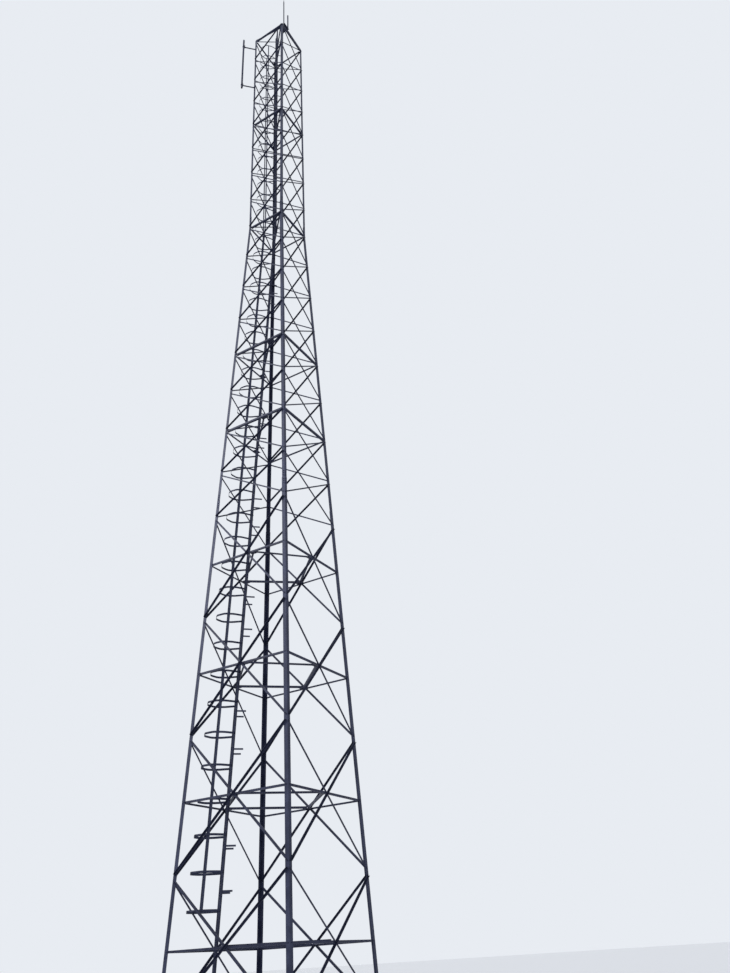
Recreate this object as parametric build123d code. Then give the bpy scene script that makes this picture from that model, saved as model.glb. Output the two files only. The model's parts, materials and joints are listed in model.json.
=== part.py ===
from build123d import *
import math
import os

# Angle steel lattice tower with a caged ladder, a peaked cap and a lightning rod.
#
# Four angle legs lean in up to the bend and stand upright above it. Every face is laced
# with crossed angle diagonals: one of a pair lies on the outside of the leg flanges and
# the other on the inside, with a packing piece between them where they cross. The caged
# ladder climbs inside the tower, along the front left leg.
#
# Lengths are millimetres. The pieces are drawn about the tower's own upright axis and
# are moved as they are saved, so that the origin is under the front left foot.

# Overall form
BASE_WIDTH = 3350.0
TOP_WIDTH = 1440.0
LOWER_HEIGHT = 12000.0
BEND_HEIGHT = 24000.0
BODY_HEIGHT = 36000.0
LONG_PANEL = 3000.0
SHORT_PANEL = 1500.0

# Legs: equal angles with their heel on the tower's corner
LEG_THICKNESS = 8.0
LEG_FLANGES = {"lower": 100.0, "middle": 90.0, "upper": 75.0}
SPLICE_RISE = 550.0
SPLICE_LENGTH = 500.0
SPLICE_FLANGE = 60.0

# Face bracing: equal angles, with the heel along the upper (1) or lower (-1) edge
BRACE_FLANGES = {"lower": 45.0, "middle": 40.0, "upper": 40.0}
OUTSIDE_HEELS = {"front": 1, "right": -1, "back": 1, "left": 1}
INSIDE_HEELS = {"front": 1, "right": 1, "back": 1, "left": -1}
BRACE_THICKNESS = 5.0
BRACE_OVERRUN = 18.0
JOINT_GAP = 80.0
FOOT_GAP = 230.0
PACKING_WIDTH = 30.0
CORNER_CLEARANCE = 6.0

# Belts: the level angles round the tower, at the joints nearest to these shares of a section
BELT_SHARES = {"middle": (1 / 4, 1 / 2), "upper": (0.0, 1 / 2, 1.0)}
BELT_FLANGE = 60.0

# Plan bracing and ladder beams
CLEAT_THICKNESS = 8.0
CLEAT_WIDTH = 220.0
CLEAT_REACH = 150.0
PLAN_FLANGE = 50.0
PLAN_THICKNESS = 5.0
PLAN_INSET = 62.0
PLAN_END_GAP = 32.0

# Feet
FOOT_PLATE_WIDTH = 400.0
FOOT_PLATE_THICKNESS = 25.0
ANCHOR_SPACING = 280.0
ANCHOR_HOLE_RADIUS = 16.5
RIB_HEIGHT = 140.0
RIB_REACH = 110.0
RIB_TIP = 20.0
RIB_THICKNESS = 12.0

# Ladder and its cage
LADDER_DEPTH_IN_AT_TOP = 930.0
LADDER_DEPTH_IN_AT_BASE = 1070.0
LADDER_BOTTOM = 300.0
LADDER_ABOVE_BODY = 900.0
RAIL_GAP = 400.0
RAIL_FLANGE = 50.0
RAIL_THICKNESS = 5.0
RUNG_SPACING = 300.0
RUNG_RADIUS = 12.0
HOOP_WIDTH = 570.0
HOOP_DEPTH = 690.0
HOOP_SHOULDER = 270.0
HOOP_NOSE_WIDTH = 250.0
HOOP_NOSE_DEPTH = 190.0
HOOP_THICKNESS = 5.0
HOOP_HEIGHT = 50.0
HOOP_SPACING = 750.0
HOOP_BOTTOM = 2340.0
STRAP_WIDTH = 40.0
STRAP_THICKNESS = 5.0
CABLE_ARM_LENGTH = 210.0
CABLE_ARM_HEIGHT = 40.0
CABLE_ARM_THICKNESS = 6.0
CABLE_ARM_BOTTOM = 2700.0
CABLE_ARM_PAIR = 900.0
CABLE_ARM_SPACING = 3000.0

# Cap, rod and antenna pole
CAP_RISE = 1500.0
CAP_FLANGE = 50.0
CAP_THICKNESS = 5.0
SHOE_WIDTH = 75.0
SHOE_THICKNESS = 8.0
APEX_PLATE_WIDTH = 340.0
APEX_PLATE_THICKNESS = 12.0
RAFTER_HEAD = 55.0
APEX_SHIFT = 165.0
ROUND_SIDES = 12
SOCKET_RADIUS = 42.0
SOCKET_NECK_RADIUS = 34.0
SOCKET_HEIGHT = 260.0
ROD_RADIUS = 24.0
ROD_LENGTH = 2400.0
ROD_POINT = 250.0
ROD_TIP_RADIUS = 4.0
STUB_RADIUS = 30.0
STUB_WALL = 4.0
STUB_HEIGHT = 1100.0
STUB_OFFSET = 130.0
POLE_RADIUS = 38.0
POLE_WALL = 4.0
POLE_STAND_OFF = 500.0
POLE_LENGTH = 3480.0
POLE_BELOW_BODY = 150.0
ARM_BELOW_BODY = 675.0
ARM_SPREAD = 2800.0
ARM_FLANGE = 50.0
ARM_THICKNESS = 5.0
ARM_RISE = 15.0
ARM_PLATE_WIDTH = 120.0
CLAMP_FLANGE = 75.0
CLAMP_THICKNESS = 8.0
CLAMP_HEIGHT = 80.0

SLOPE = (BASE_WIDTH - TOP_WIDTH) / 2 / BEND_HEIGHT
SECTIONS = {
    "lower": (0.0, LOWER_HEIGHT, LONG_PANEL),
    "middle": (LOWER_HEIGHT, BEND_HEIGHT, SHORT_PANEL),
    "upper": (BEND_HEIGHT, BODY_HEIGHT, SHORT_PANEL),
}
FACES = {"front": 0, "right": 90, "back": 180, "left": 270}
CORNERS = {
    "front_left": (-1, -1),
    "front_right": (1, -1),
    "back_right": (1, 1),
    "back_left": (-1, 1),
}
FOOT_FROM_AXIS = BASE_WIDTH / 2 - LEG_FLANGES["lower"] / 2
LADDER_TOP = BODY_HEIGHT + LADDER_ABOVE_BODY
LADDER_SLOPE = SLOPE * math.sqrt(2) - (LADDER_DEPTH_IN_AT_BASE - LADDER_DEPTH_IN_AT_TOP) / BEND_HEIGHT


def half_width(height):
    """Half the width across the legs' outer faces at a height."""
    return TOP_WIDTH / 2 + SLOPE * max(BEND_HEIGHT - height, 0.0)


def save(name, pieces):
    """Writes the pieces of one node, moved so that the front left foot is at the origin."""
    moved = [Pos(FOOT_FROM_AXIS, FOOT_FROM_AXIS, 0) * piece for piece in pieces]
    solids = [solid for piece in moved for solid in piece.solids()]
    export_step(Compound(children=solids), os.path.join("parts", name + ".step"))


def angle_outline(flange, thickness):
    """An angle with its heel at the origin and its flanges along +X and +Y."""
    return Polygon(
        (0, 0), (flange, 0), (flange, thickness), (thickness, thickness),
        (thickness, flange), (0, flange), align=None,
    )


def leaning(outline, lean_x, lean_y, rise):
    """Raises a level outline by a height, moving it along x and y for each mm up."""
    run = Vector(lean_x, lean_y, 1) * rise
    return extrude(outline, amount=run.length, dir=run.normalized())


# Legs and splices

def corner_angle(corner, low, high, flange, thickness, inset=0.0):
    """A stretch of angle in one corner of the tower, with its heel inset from the corner line."""
    side_x, side_y = CORNERS[corner]
    half = half_width(low) - inset
    slope = SLOPE if high <= BEND_HEIGHT else 0.0
    outline = angle_outline(flange, thickness)
    if side_x > 0:
        outline = mirror(outline, about=Plane.YZ)
    if side_y > 0:
        outline = mirror(outline, about=Plane.XZ)
    outline = Pos(side_x * half, side_y * half, low) * outline
    return leaning(outline, -side_x * slope, -side_y * slope, high - low)


def spanning_angle(corner, low, high, flange, thickness, inset=0.0):
    """As corner_angle, but following the bend where the stretch passes it."""
    if low < BEND_HEIGHT < high:
        below = corner_angle(corner, low, BEND_HEIGHT, flange, thickness, inset)
        above = corner_angle(corner, BEND_HEIGHT, high, flange, thickness, inset)
        return below + above
    return corner_angle(corner, low, high, flange, thickness, inset)


def leg(corner, section):
    """One leg of one section, from its lower splice to its upper one."""
    low, high, _ = SECTIONS[section]
    low = FOOT_PLATE_THICKNESS if section == "lower" else low + SPLICE_RISE
    high = high if section == "upper" else high + SPLICE_RISE
    return spanning_angle(corner, low, high, LEG_FLANGES[section], LEG_THICKNESS)


def splice(corner, level):
    """The inner cover angle over one leg splice."""
    middle = level + SPLICE_RISE
    low, high = middle - SPLICE_LENGTH / 2, middle + SPLICE_LENGTH / 2
    return spanning_angle(corner, low, high, SPLICE_FLANGE, LEG_THICKNESS, LEG_THICKNESS)


# Feet

def foot(corner):
    """A base plate with four anchor holes and four ribs against the leg's flanges."""
    side_x, side_y = CORNERS[corner]
    plate = Box(
        FOOT_PLATE_WIDTH, FOOT_PLATE_WIDTH, FOOT_PLATE_THICKNESS,
        align=(Align.CENTER, Align.CENTER, Align.MIN),
    )
    holes = GridLocations(ANCHOR_SPACING, ANCHOR_SPACING, 2, 2)
    plate -= holes * Cylinder(ANCHOR_HOLE_RADIUS, 2 * FOOT_PLATE_THICKNESS)
    body = Pos(-FOOT_FROM_AXIS, -FOOT_FROM_AXIS, 0) * plate
    low, high = FOOT_PLATE_THICKNESS, FOOT_PLATE_THICKNESS + RIB_HEIGHT
    for face_inset, way in ((0.0, -1), (LEG_THICKNESS, 1)):
        low_face = -half_width(low) + face_inset
        high_face = -half_width(high) + face_inset
        profile = Plane.YZ * Polygon(
            (low_face, low), (high_face, high), (high_face + way * RIB_TIP, high),
            (low_face + way * RIB_REACH, low), align=None,
        )
        rib = Pos(-FOOT_FROM_AXIS - RIB_THICKNESS / 2, 0, 0) * extrude(profile, amount=RIB_THICKNESS)
        body += rib
        body += mirror(rib, about=Plane(origin=(0, 0, 0), z_dir=(1, -1, 0)))
    if side_x > 0:
        body = mirror(body, about=Plane.YZ)
    if side_y > 0:
        body = mirror(body, about=Plane.XZ)
    return body


# Faces

def face_frame(turn, height, slope):
    """The plane of a face's outer surface: x level, y up the face, z outward, centred at a height."""
    outward = Vector(0, -1, slope).normalized()
    frame = Plane(origin=(0, -half_width(height), height), x_dir=(1, 0, 0), z_dir=outward)
    return Rot(0, 0, turn) * Location(frame)


def face_bar(start, end, flange, thickness, way, heel=-1):
    """An angle along a face: one flange flat in the face, the other pointing out (1) or in (-1).

    The heel is along the upper (1) or the lower (-1) edge of a bar drawn from left to right.
    """
    run = Vector(*end) - Vector(*start)
    side = Vector(0, 0, 1).cross(run).normalized()
    edge = heel * flange / 2
    step = edge - heel * thickness
    outline = Plane(origin=start, x_dir=side, z_dir=run) * Polygon(
        (edge, 0), (-edge, 0), (-edge, way * thickness), (step, way * thickness),
        (step, way * flange), (edge, way * flange), align=None,
    )
    return extrude(outline, amount=run.length, dir=run.normalized())


def longer(start, end, extra):
    """Two points of a face moved apart by an extra length at each end."""
    along = (Vector(*end) - Vector(*start)).normalized() * extra
    return tuple(Vector(*start) - along), tuple(Vector(*end) + along)


def crossing_height(section, low, high):
    """The height at which the two diagonals of a panel cross."""
    low_end, high_end = panel_ends(low, high)
    reach = LEG_FLANGES[section] / 2
    low_half, high_half = half_width(low_end) - reach, half_width(high_end) - reach
    return low_end + (high_end - low_end) * low_half / (low_half + high_half)


def panel_ends(low, high):
    """The heights at which a panel's diagonals meet the legs."""
    return low + (FOOT_GAP if low == 0 else JOINT_GAP), high - JOINT_GAP


def cross(face, section, low, high, upright):
    """The two diagonals of one panel, joined by the packing piece between them."""
    flange = BRACE_FLANGES[section]
    reach = LEG_FLANGES[section] / 2
    bottom, top = panel_ends(low, high)
    inner = -LEG_THICKNESS * upright
    base = SECTIONS[section][0]
    left_low = (reach - half_width(bottom), (bottom - base) / upright)
    right_low = (-left_low[0], left_low[1])
    left_high = (reach - half_width(top), (top - base) / upright)
    right_high = (-left_high[0], left_high[1])
    outside = longer((*left_low, 0), (*right_high, 0), BRACE_OVERRUN)
    inside = longer((*left_high, inner), (*right_low, inner), BRACE_OVERRUN)
    meeting = (crossing_height(section, low, high) - base) / upright
    packing = Pos(0, meeting, inner) * Box(
        PACKING_WIDTH, PACKING_WIDTH, -inner, align=(Align.CENTER, Align.CENTER, Align.MIN)
    )
    first = face_bar(*outside, flange, BRACE_THICKNESS, 1, OUTSIDE_HEELS[face])
    second = face_bar(*inside, flange, BRACE_THICKNESS, -1, INSIDE_HEELS[face])
    return first + packing + second


def level_bar(section, height, upright, flange):
    """A level angle across a face, inside the legs, coped so that its flat flange reaches them."""
    inner = -LEG_THICKNESS * upright
    full = half_width(height) - LEG_THICKNESS - BRACE_THICKNESS - CORNER_CLEARANCE
    coped = full - flange
    rise = (height - SECTIONS[section][0]) / upright
    bar = face_bar((-coped, rise, inner), (coped, rise, inner), flange, BRACE_THICKNESS, -1)
    return bar + Pos(0, rise, inner) * Box(
        2 * full, flange, BRACE_THICKNESS, align=(Align.CENTER, Align.CENTER, Align.MAX)
    )


def cleat(place, height, turn):
    """A level plate on the inside of a face's level angle, which carries plan bars."""
    inner_face = half_width(height) - LEG_THICKNESS - BRACE_THICKNESS / 2
    limit = half_width(height) - max(LEG_FLANGES.values()) + CORNER_CLEARANCE
    left = max(place - CLEAT_WIDTH / 2, -limit)
    right = min(place + CLEAT_WIDTH / 2, limit)
    plate = Pos((left + right) / 2, -inner_face, height) * Box(
        right - left, CLEAT_REACH, CLEAT_THICKNESS, align=(Align.CENTER, Align.MIN, Align.MAX)
    )
    return Rot(0, 0, turn) * plate


def panels(section):
    """The low and high level of each panel: as many equal ones as come nearest to their height."""
    low, high, step = SECTIONS[section]
    count = round((high - low) / step)
    rise = (high - low) / count
    return [(low + rise * i, low + rise * (i + 1)) for i in range(count)]


def belt_heights(section):
    """The heights of a section's belts. The top belt hangs under the legs' ends."""
    joints = [low for low, _ in panels(section)] + [SECTIONS[section][1]]
    highest = BODY_HEIGHT - BELT_FLANGE / 2
    shares = BELT_SHARES.get(section, ())
    return [min(joints[round(share * (len(joints) - 1))], highest) for share in shares]


def cleat_places(face, height):
    """Where the cleats stand across a face at a height."""
    ladder_side = plan_corner_offset(height)
    elsewhere = [0.0] if height < LOWER_HEIGHT else []
    return {"front": [ladder_side], "left": [-ladder_side]}.get(face, elsewhere)


def bracing(face, section):
    """All the angles of one face of one section, fused where they cross."""
    turn = FACES[face]
    slope = SLOPE if section != "upper" else 0.0
    upright = 1 / math.sqrt(1 + slope * slope)
    frame = face_frame(turn, SECTIONS[section][0], slope)
    pieces = []
    for low, high in panels(section):
        piece = frame * cross(face, section, low, high, upright)
        if section == "lower":
            height = crossing_height(section, low, high)
            piece += frame * level_bar(section, height, upright, BRACE_FLANGES[section])
            piece += [cleat(place, height, turn) for place in cleat_places(face, height)]
        pieces.append(piece)
    for height in belt_heights(section):
        piece = frame * level_bar(section, height, upright, BELT_FLANGE)
        places = cleat_places(face, height)
        pieces.append(piece + [cleat(place, height, turn) for place in places] if places else piece)
    return pieces


# Plan bracing and ladder beams

def ladder_distance(height):
    """How far the ladder's plane is from the tower's axis, towards the front left leg."""
    top = TOP_WIDTH / math.sqrt(2) - LADDER_DEPTH_IN_AT_TOP
    return top + LADDER_SLOPE * max(BEND_HEIGHT - height, 0.0)


def plan_line(height):
    """Distance of the plan bars' corners from the axis, inside the face's level angle."""
    return half_width(height) - LEG_THICKNESS - BRACE_THICKNESS - PLAN_INSET


def plan_corner_offset(height):
    """Where the ladder beam meets the front face, from the middle of that face."""
    beam = ladder_distance(height + PLAN_FLANGE) - RAIL_FLANGE / 2 - PLAN_FLANGE / 2
    return plan_line(height) - beam * math.sqrt(2)


def plan_bar(start, end, height):
    """An angle lying on its flange between two points, with the other flange up on its left."""
    run = Vector(*end, 0) - Vector(*start, 0)
    run_unit = run.normalized()
    first = Vector(*start, height) + run_unit * PLAN_END_GAP
    side = Vector(0, 0, 1).cross(run_unit)
    edge = PLAN_FLANGE / 2
    outline = Plane(origin=tuple(first), x_dir=side, z_dir=run_unit) * Polygon(
        (-edge, 0), (edge, 0), (edge, PLAN_FLANGE), (edge - PLAN_THICKNESS, PLAN_FLANGE),
        (edge - PLAN_THICKNESS, PLAN_THICKNESS), (-edge, PLAN_THICKNESS), align=None,
    )
    return extrude(outline, amount=run.length - 2 * PLAN_END_GAP, dir=run_unit)


def plan_corners(height):
    """The four corners of the plan bracing, one by each face."""
    line, offset = plan_line(height), plan_corner_offset(height)
    return {"front": (offset, -line), "right": (line, 0), "back": (0, line), "left": (-line, offset)}


def ladder_beam(height):
    """The bar behind the ladder, from the front face to the left face."""
    corners = plan_corners(height)
    return plan_bar(corners["left"], corners["front"], height)


def plan_frame(height):
    """The three other bars of the plan bracing at one height."""
    corners = plan_corners(height)
    ring = ("front", "right", "back", "left")
    return [plan_bar(corners[a], corners[b], height) for a, b in zip(ring, ring[1:])]


# Ladder and cage, drawn with x across the ladder and y towards the front left leg

def ladder_frame(height):
    """A level plane on the ladder at a height, as a location."""
    distance = ladder_distance(height) / math.sqrt(2)
    return Pos(-distance, -distance, height) * Rot(0, 0, 135)


def along_ladder(outline, low, high):
    """Raises an outline of the ladder's plane along it, from one height to another."""
    lean = LADDER_SLOPE / math.sqrt(2) if high <= BEND_HEIGHT else 0.0
    return leaning(ladder_frame(low) * outline, lean, lean, high - low)


def rail(side, low, high):
    """A ladder rail: one flange beside the rungs, the other along the back and outward."""
    inner = RAIL_GAP / 2
    half = RAIL_FLANGE / 2
    outline = Polygon(
        (inner, half), (inner, -half), (inner + RAIL_FLANGE, -half),
        (inner + RAIL_FLANGE, RAIL_THICKNESS - half),
        (inner + RAIL_THICKNESS, RAIL_THICKNESS - half), (inner + RAIL_THICKNESS, half), align=None,
    )
    if side < 0:
        outline = mirror(outline, about=Plane.YZ)
    return along_ladder(outline, low, high)


def rung(height):
    """A square bar set on edge between the rails."""
    outline = Plane(origin=(-RAIL_GAP / 2, 0, 0), x_dir=(0, 1, 0), z_dir=(1, 0, 0))
    bar = extrude(outline * RegularPolygon(RUNG_RADIUS, 4), amount=RAIL_GAP)
    return ladder_frame(height) * bar


def ladder(section):
    """One welded length of the ladder: two rails and the rungs between them."""
    low, high, _ = SECTIONS[section]
    low, high = max(low, LADDER_BOTTOM), LADDER_TOP if section == "upper" else high
    first = LADDER_BOTTOM + RUNG_SPACING / 2
    heights = in_section(section, steps(first, LADDER_TOP - RUNG_SPACING / 2, RUNG_SPACING))
    return rail(-1, low, high) + ([rail(1, low, high)] + [rung(height) for height in heights])


def hoop_inside():
    """The outline that a hoop closes round: along the rails, out to full width and in to the nose."""
    rail_face = RAIL_GAP / 2 + RAIL_THICKNESS
    side = [
        (rail_face, 2 * RAIL_THICKNESS - RAIL_FLANGE / 2),
        (rail_face, RAIL_FLANGE / 2),
        (HOOP_WIDTH / 2, HOOP_SHOULDER),
        (HOOP_WIDTH / 2, HOOP_DEPTH - HOOP_NOSE_DEPTH),
        (HOOP_NOSE_WIDTH / 2, HOOP_DEPTH),
    ]
    return Polygon(*side, *[(-x, y) for x, y in reversed(side)], align=None)


def hoop(height):
    """A flat bar bent round the climber, with its ends flat on the outside of the rails."""
    inside = hoop_inside()
    behind = Pos(0, 2 * RAIL_THICKNESS - RAIL_FLANGE / 2) * Rectangle(
        HOOP_WIDTH, RAIL_FLANGE, align=(Align.CENTER, Align.MAX)
    )
    shape = offset(inside, amount=HOOP_THICKNESS, kind=Kind.INTERSECTION) - inside - behind
    return ladder_frame(height) * Pos(0, 0, -HOOP_HEIGHT / 2) * extrude(shape, amount=HOOP_HEIGHT)


def hoop_heights():
    """The heights of the hoops, up to the top of the legs."""
    return steps(HOOP_BOTTOM, BODY_HEIGHT, HOOP_SPACING)


def strap(side, section):
    """A long flat bar inside the hoops of one section, at one side of the cage."""
    low, high, _ = SECTIONS[section]
    low = max(low, HOOP_BOTTOM - HOOP_HEIGHT / 2)
    high = hoop_heights()[-1] + HOOP_HEIGHT / 2 if section == "upper" else high
    place = (HOOP_SHOULDER + HOOP_DEPTH - HOOP_NOSE_DEPTH) / 2
    outline = Pos(side * (HOOP_WIDTH - STRAP_THICKNESS) / 2, place) * Rectangle(
        STRAP_THICKNESS, STRAP_WIDTH
    )
    return along_ladder(outline, low, high)


def cable_arm(side, height):
    """A short flat arm on the outer edge of a rail's back flange, reaching back for the cables."""
    bar = Box(
        CABLE_ARM_THICKNESS, CABLE_ARM_LENGTH + RAIL_THICKNESS, CABLE_ARM_HEIGHT,
        align=(Align.MIN if side > 0 else Align.MAX, Align.MAX, Align.CENTER),
    )
    edge = RAIL_GAP / 2 + RAIL_FLANGE
    return ladder_frame(height) * Pos(side * edge, RAIL_THICKNESS - RAIL_FLANGE / 2, 0) * bar


# Cap, rod and antenna pole

def rafter(side_x, side_y):
    """One sloping angle of the cap, heel up, with its shoe on the leg's end."""
    heel = TOP_WIDTH / 2
    foot_place = heel - SHOE_WIDTH / 2
    low = Vector(side_x * foot_place, side_y * foot_place, BODY_HEIGHT)
    high = Vector(
        APEX_SHIFT + side_x * RAFTER_HEAD, APEX_SHIFT + side_y * RAFTER_HEAD, BODY_HEIGHT + CAP_RISE
    )
    run = (high - low).normalized()
    side = run.cross(Vector(0, 0, 1)).normalized()
    rise = run.cross(side)
    outline = Plane(origin=tuple(low - run * CAP_FLANGE), x_dir=-side - rise, z_dir=run)
    length = (high - low).length + 2 * CAP_FLANGE
    bar = extrude(outline * angle_outline(CAP_FLANGE, CAP_THICKNESS), amount=length, dir=run)
    shoe = Pos(side_x * foot_place, side_y * foot_place, BODY_HEIGHT) * Box(
        SHOE_WIDTH, SHOE_WIDTH, SHOE_THICKNESS, align=(Align.CENTER, Align.CENTER, Align.MIN)
    )
    span = CAP_RISE - SHOE_THICKNESS / 2 + APEX_PLATE_THICKNESS / 2
    between = Pos(0, 0, BODY_HEIGHT + SHOE_THICKNESS / 2) * Box(
        TOP_WIDTH, TOP_WIDTH, span, align=(Align.CENTER, Align.CENTER, Align.MIN)
    )
    return (bar & between) + shoe


def cap_frame():
    """Four rafters meeting under the apex plate, which stands off centre, clear of the ladder."""
    plate = Pos(APEX_SHIFT, APEX_SHIFT, BODY_HEIGHT + CAP_RISE) * Box(
        APEX_PLATE_WIDTH, APEX_PLATE_WIDTH, APEX_PLATE_THICKNESS,
        align=(Align.CENTER, Align.CENTER, Align.MIN),
    )
    for side_x, side_y in CORNERS.values():
        plate += rafter(side_x, side_y)
    return plate


def round_bar(radius, height):
    """An upright bar of few sides, near enough round, standing on the origin."""
    return extrude(RegularPolygon(radius, ROUND_SIDES, major_radius=False), amount=height)


def on_apex(piece):
    """Stands a piece on the middle of the apex plate."""
    return Pos(APEX_SHIFT, APEX_SHIFT, BODY_HEIGHT + CAP_RISE + APEX_PLATE_THICKNESS) * piece


def lightning_rod():
    """A rod with a tapered point, standing in its socket on the apex plate."""
    shaft = round_bar(ROD_RADIUS, ROD_LENGTH - ROD_POINT)
    narrowing = math.degrees(math.atan((ROD_RADIUS - ROD_TIP_RADIUS) / ROD_POINT))
    end = RegularPolygon(ROD_RADIUS, ROUND_SIDES, major_radius=False)
    point = extrude(end, amount=ROD_POINT, taper=narrowing)
    return on_apex(shaft + Pos(0, 0, ROD_LENGTH - ROD_POINT) * point)


def rod_socket():
    """The stepped sleeve round the rod's foot, wide below and narrow above."""
    sleeve = round_bar(SOCKET_RADIUS, SOCKET_HEIGHT / 2) + round_bar(SOCKET_NECK_RADIUS, SOCKET_HEIGHT)
    return on_apex(sleeve - round_bar(ROD_RADIUS, SOCKET_HEIGHT))


def stub_pipe():
    """The short open pipe beside the rod."""
    tube = round_bar(STUB_RADIUS, STUB_HEIGHT) - round_bar(STUB_RADIUS - STUB_WALL, STUB_HEIGHT)
    return on_apex(Pos(STUB_OFFSET, STUB_OFFSET, 0) * tube)


def pole_frame(height):
    """A location on the front left leg's heel, with x pointing away from the tower."""
    heel = -TOP_WIDTH / 2
    return Pos(heel, heel, height) * Rot(0, 0, 225)


def antenna_pole():
    """The upright pipe that stands off the front left leg."""
    tube = Cylinder(POLE_RADIUS, POLE_LENGTH, align=(Align.CENTER, Align.CENTER, Align.MIN))
    tube -= round_bar(POLE_RADIUS - POLE_WALL, POLE_LENGTH)
    bottom = BODY_HEIGHT - POLE_BELOW_BODY - POLE_LENGTH
    return pole_frame(bottom) * Pos(POLE_STAND_OFF, 0, 0) * tube


def antenna_arm(height):
    """A level angle between a clamp over the leg's heel and the plate that the pole stands against."""
    flange, thick = CLAMP_FLANGE, CLAMP_THICKNESS
    outline = Polygon(
        (-thick, -thick), (flange, -thick), (flange, 0), (0, 0), (0, flange), (-thick, flange),
        align=None,
    )
    on_heel = Pos(-TOP_WIDTH / 2, -TOP_WIDTH / 2, height)
    leg_space = Box(
        2 * flange, 2 * flange, CLAMP_HEIGHT, align=(Align.MIN, Align.MIN, Align.MIN)
    )
    across = Plane(origin=(-flange, -ARM_FLANGE / 2, ARM_RISE), x_dir=(0, 1, 0), z_dir=(1, 0, 0))
    plate_face = POLE_STAND_OFF - POLE_RADIUS
    bar = extrude(across * angle_outline(ARM_FLANGE, ARM_THICKNESS), amount=flange + plate_face - thick)
    plate = Pos(plate_face, 0, 0) * Box(
        thick, ARM_PLATE_WIDTH, CLAMP_HEIGHT, align=(Align.MAX, Align.CENTER, Align.MIN)
    )
    arm = pole_frame(height) * (bar + plate)
    return arm - on_heel * leg_space + on_heel * extrude(outline, amount=CLAMP_HEIGHT)


def steps(first, last, spacing):
    """Heights from the first to the last, evenly spaced."""
    return [first + spacing * i for i in range(int((last - first) / spacing) + 1)]


def in_section(section, heights):
    """The heights that lie in one section, or above it for the upper one."""
    low, high, _ = SECTIONS[section]
    return [height for height in heights if low <= height and (height < high or section == "upper")]


def build():
    """Makes every node of the tower."""
    os.makedirs("parts", exist_ok=True)
    save("foot_plates", [foot(corner) for corner in CORNERS])
    for corner in CORNERS:
        for section in SECTIONS:
            save("leg_" + corner + "_" + section, [leg(corner, section)])
    levels = (LOWER_HEIGHT, BEND_HEIGHT)
    save("leg_splices", [splice(corner, level) for level in levels for corner in CORNERS])
    for face in FACES:
        for section in SECTIONS:
            save("bracing_" + face + "_" + section, bracing(face, section))
    low_plans = [crossing_height("lower", low, high) for low, high in panels("lower")]
    high_plans = [height for section in BELT_SHARES for height in belt_heights(section)]
    save("plan_bracing", [bar for height in low_plans for bar in plan_frame(height)])
    save("ladder_beams", [ladder_beam(height) for height in low_plans + high_plans])
    hoops = hoop_heights()
    for section in SECTIONS:
        save("ladder_" + section, [ladder(section)])
        save("cage_hoops_" + section, [hoop(height) for height in in_section(section, hoops)])
        save("cage_straps_" + section, [strap(-1, section), strap(1, section)])
    arms = steps(CABLE_ARM_BOTTOM, BODY_HEIGHT, CABLE_ARM_SPACING)
    arms += steps(CABLE_ARM_BOTTOM + CABLE_ARM_PAIR, BODY_HEIGHT, CABLE_ARM_SPACING)
    save("cable_arms", [cable_arm(side, height) for height in arms for side in (-1, 1)])
    save("cap_frame", [cap_frame()])
    save("rod_socket", [rod_socket()])
    save("lightning_rod", [lightning_rod()])
    save("stub_pipe", [stub_pipe()])
    save("antenna_pole", [antenna_pole()])
    top_arm = BODY_HEIGHT - ARM_BELOW_BODY
    save("antenna_arms", [antenna_arm(top_arm - ARM_SPREAD), antenna_arm(top_arm)])


build()
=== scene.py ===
# %% [markdown]
# A lattice tower of bolted, galvanised angle steel
#
# The tower's solid pieces come ready from the imported frame: legs, face bracing, plan bracing, the caged
# ladder, the cap, the rod and the antenna pole. This lesson adds what a steel yard and a rigging crew would add
# (bolts, nuts, washers, welds, clips, fish plates and properly bent hoops) and gives every piece its finish. We
# start by loading the frame, and nothing that we add stands outside its box.

# %% Load the imported tower
import json
import math

import bpy
import numpy as np
from mathutils import Matrix


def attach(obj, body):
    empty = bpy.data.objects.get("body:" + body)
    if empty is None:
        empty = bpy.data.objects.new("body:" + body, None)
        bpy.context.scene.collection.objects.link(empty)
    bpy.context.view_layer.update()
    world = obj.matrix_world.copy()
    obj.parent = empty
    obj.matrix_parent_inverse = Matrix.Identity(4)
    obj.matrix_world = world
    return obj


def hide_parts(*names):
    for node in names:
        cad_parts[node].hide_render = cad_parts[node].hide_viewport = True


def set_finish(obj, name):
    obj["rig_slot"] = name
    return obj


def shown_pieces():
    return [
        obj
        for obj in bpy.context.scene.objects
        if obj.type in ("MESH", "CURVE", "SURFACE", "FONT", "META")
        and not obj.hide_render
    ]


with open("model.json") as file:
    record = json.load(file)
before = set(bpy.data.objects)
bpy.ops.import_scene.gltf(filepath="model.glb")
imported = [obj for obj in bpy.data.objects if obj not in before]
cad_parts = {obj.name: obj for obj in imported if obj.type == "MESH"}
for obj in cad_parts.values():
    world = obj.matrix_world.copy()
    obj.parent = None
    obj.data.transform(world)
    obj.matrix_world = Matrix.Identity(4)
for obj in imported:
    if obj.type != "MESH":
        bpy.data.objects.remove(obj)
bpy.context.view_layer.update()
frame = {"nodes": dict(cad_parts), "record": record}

# %% [markdown]
# The tower's own measures
#
# Every bolt has to sit on the bar that it holds, so we write down the tower's driving lengths once more, in
# metres, and work out places from them. The origin is under the front left foot, and the tower's axis stands
# 1.625 m to the right of it and 1.625 m behind it. A section is given by its low end, its high end and the
# height of its panels, and a bolt by the thickness of its shank.

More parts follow.
